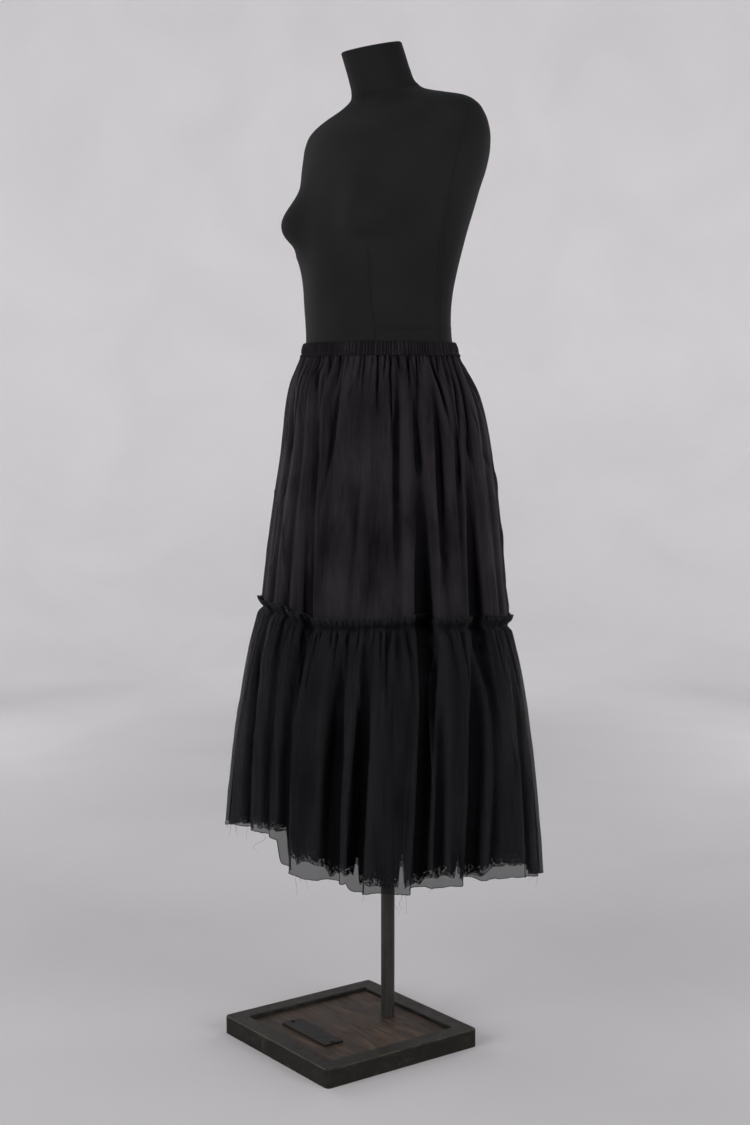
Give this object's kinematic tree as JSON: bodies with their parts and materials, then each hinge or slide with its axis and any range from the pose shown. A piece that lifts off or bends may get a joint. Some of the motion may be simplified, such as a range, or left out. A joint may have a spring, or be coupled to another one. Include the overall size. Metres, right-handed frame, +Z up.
{
  "type": "tiered skirt on a dress form",
  "caption": "Long gathered two-tier skirt with an elastic waistband and a sheer net flounce, worn by a limbless dress form on a pole with a square framed base.",
  "frame": {"origin": "the point under the pole's axis, on the underside of the base", "axes": "+Z up along the pole; the skirt and the form face -Y; +X is the form's own left"},
  "size_m": [0.5496, 0.5096, 1.6253],
  "materials": {
    "blackened_steel": "satin",
    "stained_wood": "matte",
    "pole_steel": "satin",
    "plate_black": "satin",
    "screw_black": "satin",
    "form_jersey": "matte",
    "casing_cotton": "matte",
    "tier_cotton": "matte",
    "flounce_net": "matte",
    "inner_cloth": "matte"
  },
  "bodies": {
    "root": {"base_frame": "blackened_steel", "base_board": "stained_wood", "stand_pole": "pole_steel", "base_plate": "plate_black", "plate_screw_left": "screw_black", "plate_screw_right": "screw_black", "form_torso": "form_jersey", "waistband": "casing_cotton", "upper_tier_front": "tier_cotton", "upper_tier_back": "tier_cotton", "lower_net_front": "flounce_net", "lower_net_back": "flounce_net", "lower_inner_front": "inner_cloth", "lower_inner_back": "inner_cloth"}
  },
  "joints": []
}
